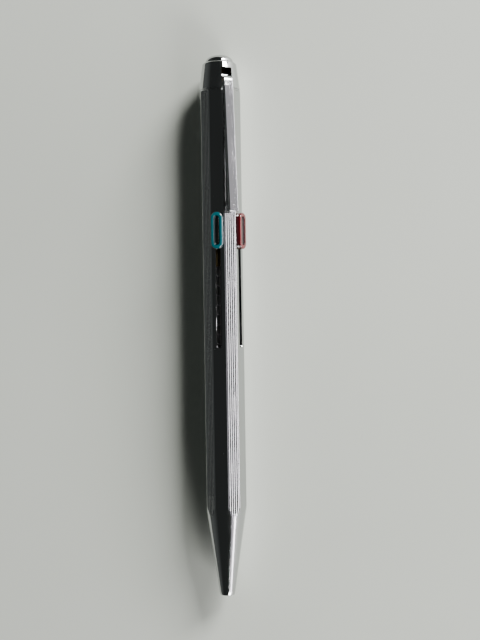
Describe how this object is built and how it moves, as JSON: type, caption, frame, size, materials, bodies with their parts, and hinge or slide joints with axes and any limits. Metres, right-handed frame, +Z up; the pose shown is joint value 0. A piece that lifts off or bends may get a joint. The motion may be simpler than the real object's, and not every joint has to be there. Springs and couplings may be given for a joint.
{
  "type": "multicolour slide-button ballpoint pen",
  "caption": "Chromed faceted pocket ball pen: coloured slide buttons each push their own refill out of the tip; sprung channel clip and screwed cap.",
  "frame": {"origin": "middle of the pen's length and width as it lies, on the surface it lies on", "axes": "+Y along the pen from the writing tip to the cap, +Z up from the surface that the pen lies on with its black button and one barrel edge; the clip leans 48 degrees from +Z towards +X"},
  "size_m": [0.0124, 0.1382, 0.0118],
  "materials": {
    "bright_chrome": "polished chrome plate with fine scratches",
    "grip_chrome": "ridged plate, dulled chrome",
    "blue_plastic": "glossy tinted plastic",
    "red_plastic": "glossy tinted plastic",
    "black_plastic": "glossy plastic",
    "guide_plastic": "moulded nylon",
    "inner_brass": "turned brass",
    "dark_brass": "tarnished turned brass",
    "nib_brass": "polished nib",
    "refill_metal": "dull drawn metal tube",
    "inner_steel": "turned steel",
    "spring_steel": "dark drawn spring wire"
  },
  "bodies": {
    "pen_body": {"barrel": "bright_chrome", "front_guide": "guide_plastic", "core_rod": "inner_steel", "latch_collar": "inner_brass", "rear_guide": "guide_plastic", "spacer_sleeve": "inner_brass", "cap_ferrule": "inner_brass", "trim_ring": "bright_chrome", "cap": "bright_chrome", "finial": "bright_chrome", "clip_bracket": "dark_brass", "clip_pin": "inner_steel", "clip_spring": "spring_steel", "blue_spring": "spring_steel", "red_spring": "spring_steel", "black_spring": "spring_steel"},
    "clip": {"clip": "bright_chrome", "clip_foot": "bright_chrome"},
    "blue_slider": {"blue_button": "blue_plastic", "blue_grip": "grip_chrome", "blue_carrier": "dark_brass"},
    "blue_refill": {"blue_refill_tube": "refill_metal", "blue_nib": "nib_brass", "blue_writing_ball": "inner_steel"},
    "red_slider": {"red_button": "red_plastic", "red_grip": "grip_chrome", "red_carrier": "dark_brass"},
    "red_refill": {"red_refill_tube": "refill_metal", "red_nib": "nib_brass", "red_writing_ball": "inner_steel"},
    "black_slider": {"black_button": "black_plastic", "black_grip": "grip_chrome", "black_carrier": "dark_brass"},
    "black_refill": {"black_refill_tube": "refill_metal", "black_nib": "nib_brass", "black_writing_ball": "inner_steel"}
  },
  "joints": [
    {"name": "blue_slide", "type": "slide", "parent": "pen_body", "child": "blue_slider", "axis": [0, -1, 0], "range_m": [0, 0.025], "stiffness_N_per_m": 40, "springref_m": -0.01, "deforming": ["blue_spring"]},
    {"name": "blue_refill_tilt", "type": "hinge", "parent": "blue_slider", "child": "blue_refill", "pos_m": [-0.0011, 0.01765, 0.00794], "axis": [0.9772, 0, 0.2123], "range_deg": [0, 1.9]},
    {"name": "red_slide", "type": "slide", "parent": "pen_body", "child": "red_slider", "axis": [0, -1, 0], "range_m": [0, 0.025], "stiffness_N_per_m": 40, "springref_m": -0.01, "deforming": ["red_spring"]},
    {"name": "red_refill_tilt", "type": "hinge", "parent": "red_slider", "child": "red_refill", "pos_m": [0.00204, 0.01765, 0.00448], "axis": [-0.3048, 0, -0.9524], "range_deg": [0, 1.9]},
    {"name": "black_slide", "type": "slide", "parent": "pen_body", "child": "black_slider", "axis": [0, -1, 0], "range_m": [0, 0.025], "stiffness_N_per_m": 40, "springref_m": -0.01, "deforming": ["black_spring"]},
    {"name": "black_refill_tilt", "type": "hinge", "parent": "black_slider", "child": "black_refill", "pos_m": [-0.00253, 0.01765, 0.00348], "axis": [-0.6724, 0, 0.7401], "range_deg": [0, 1.9]},
    {"name": "clip_lift", "type": "hinge", "parent": "pen_body", "child": "clip", "pos_m": [0.00125, 0.0634, 0.00691], "axis": [-0.6724, 0, 0.7401], "range_deg": [0, 4], "stiffness_Nm_per_rad": 0.9, "springref_deg": -2.86}
  ],
  "couplings": [
    {"joint": "blue_refill_tilt", "follows": "blue_slide", "rad_per_m": 1.2304},
    {"joint": "red_refill_tilt", "follows": "red_slide", "rad_per_m": 1.2304},
    {"joint": "black_refill_tilt", "follows": "black_slide", "rad_per_m": 1.2304}
  ]
}
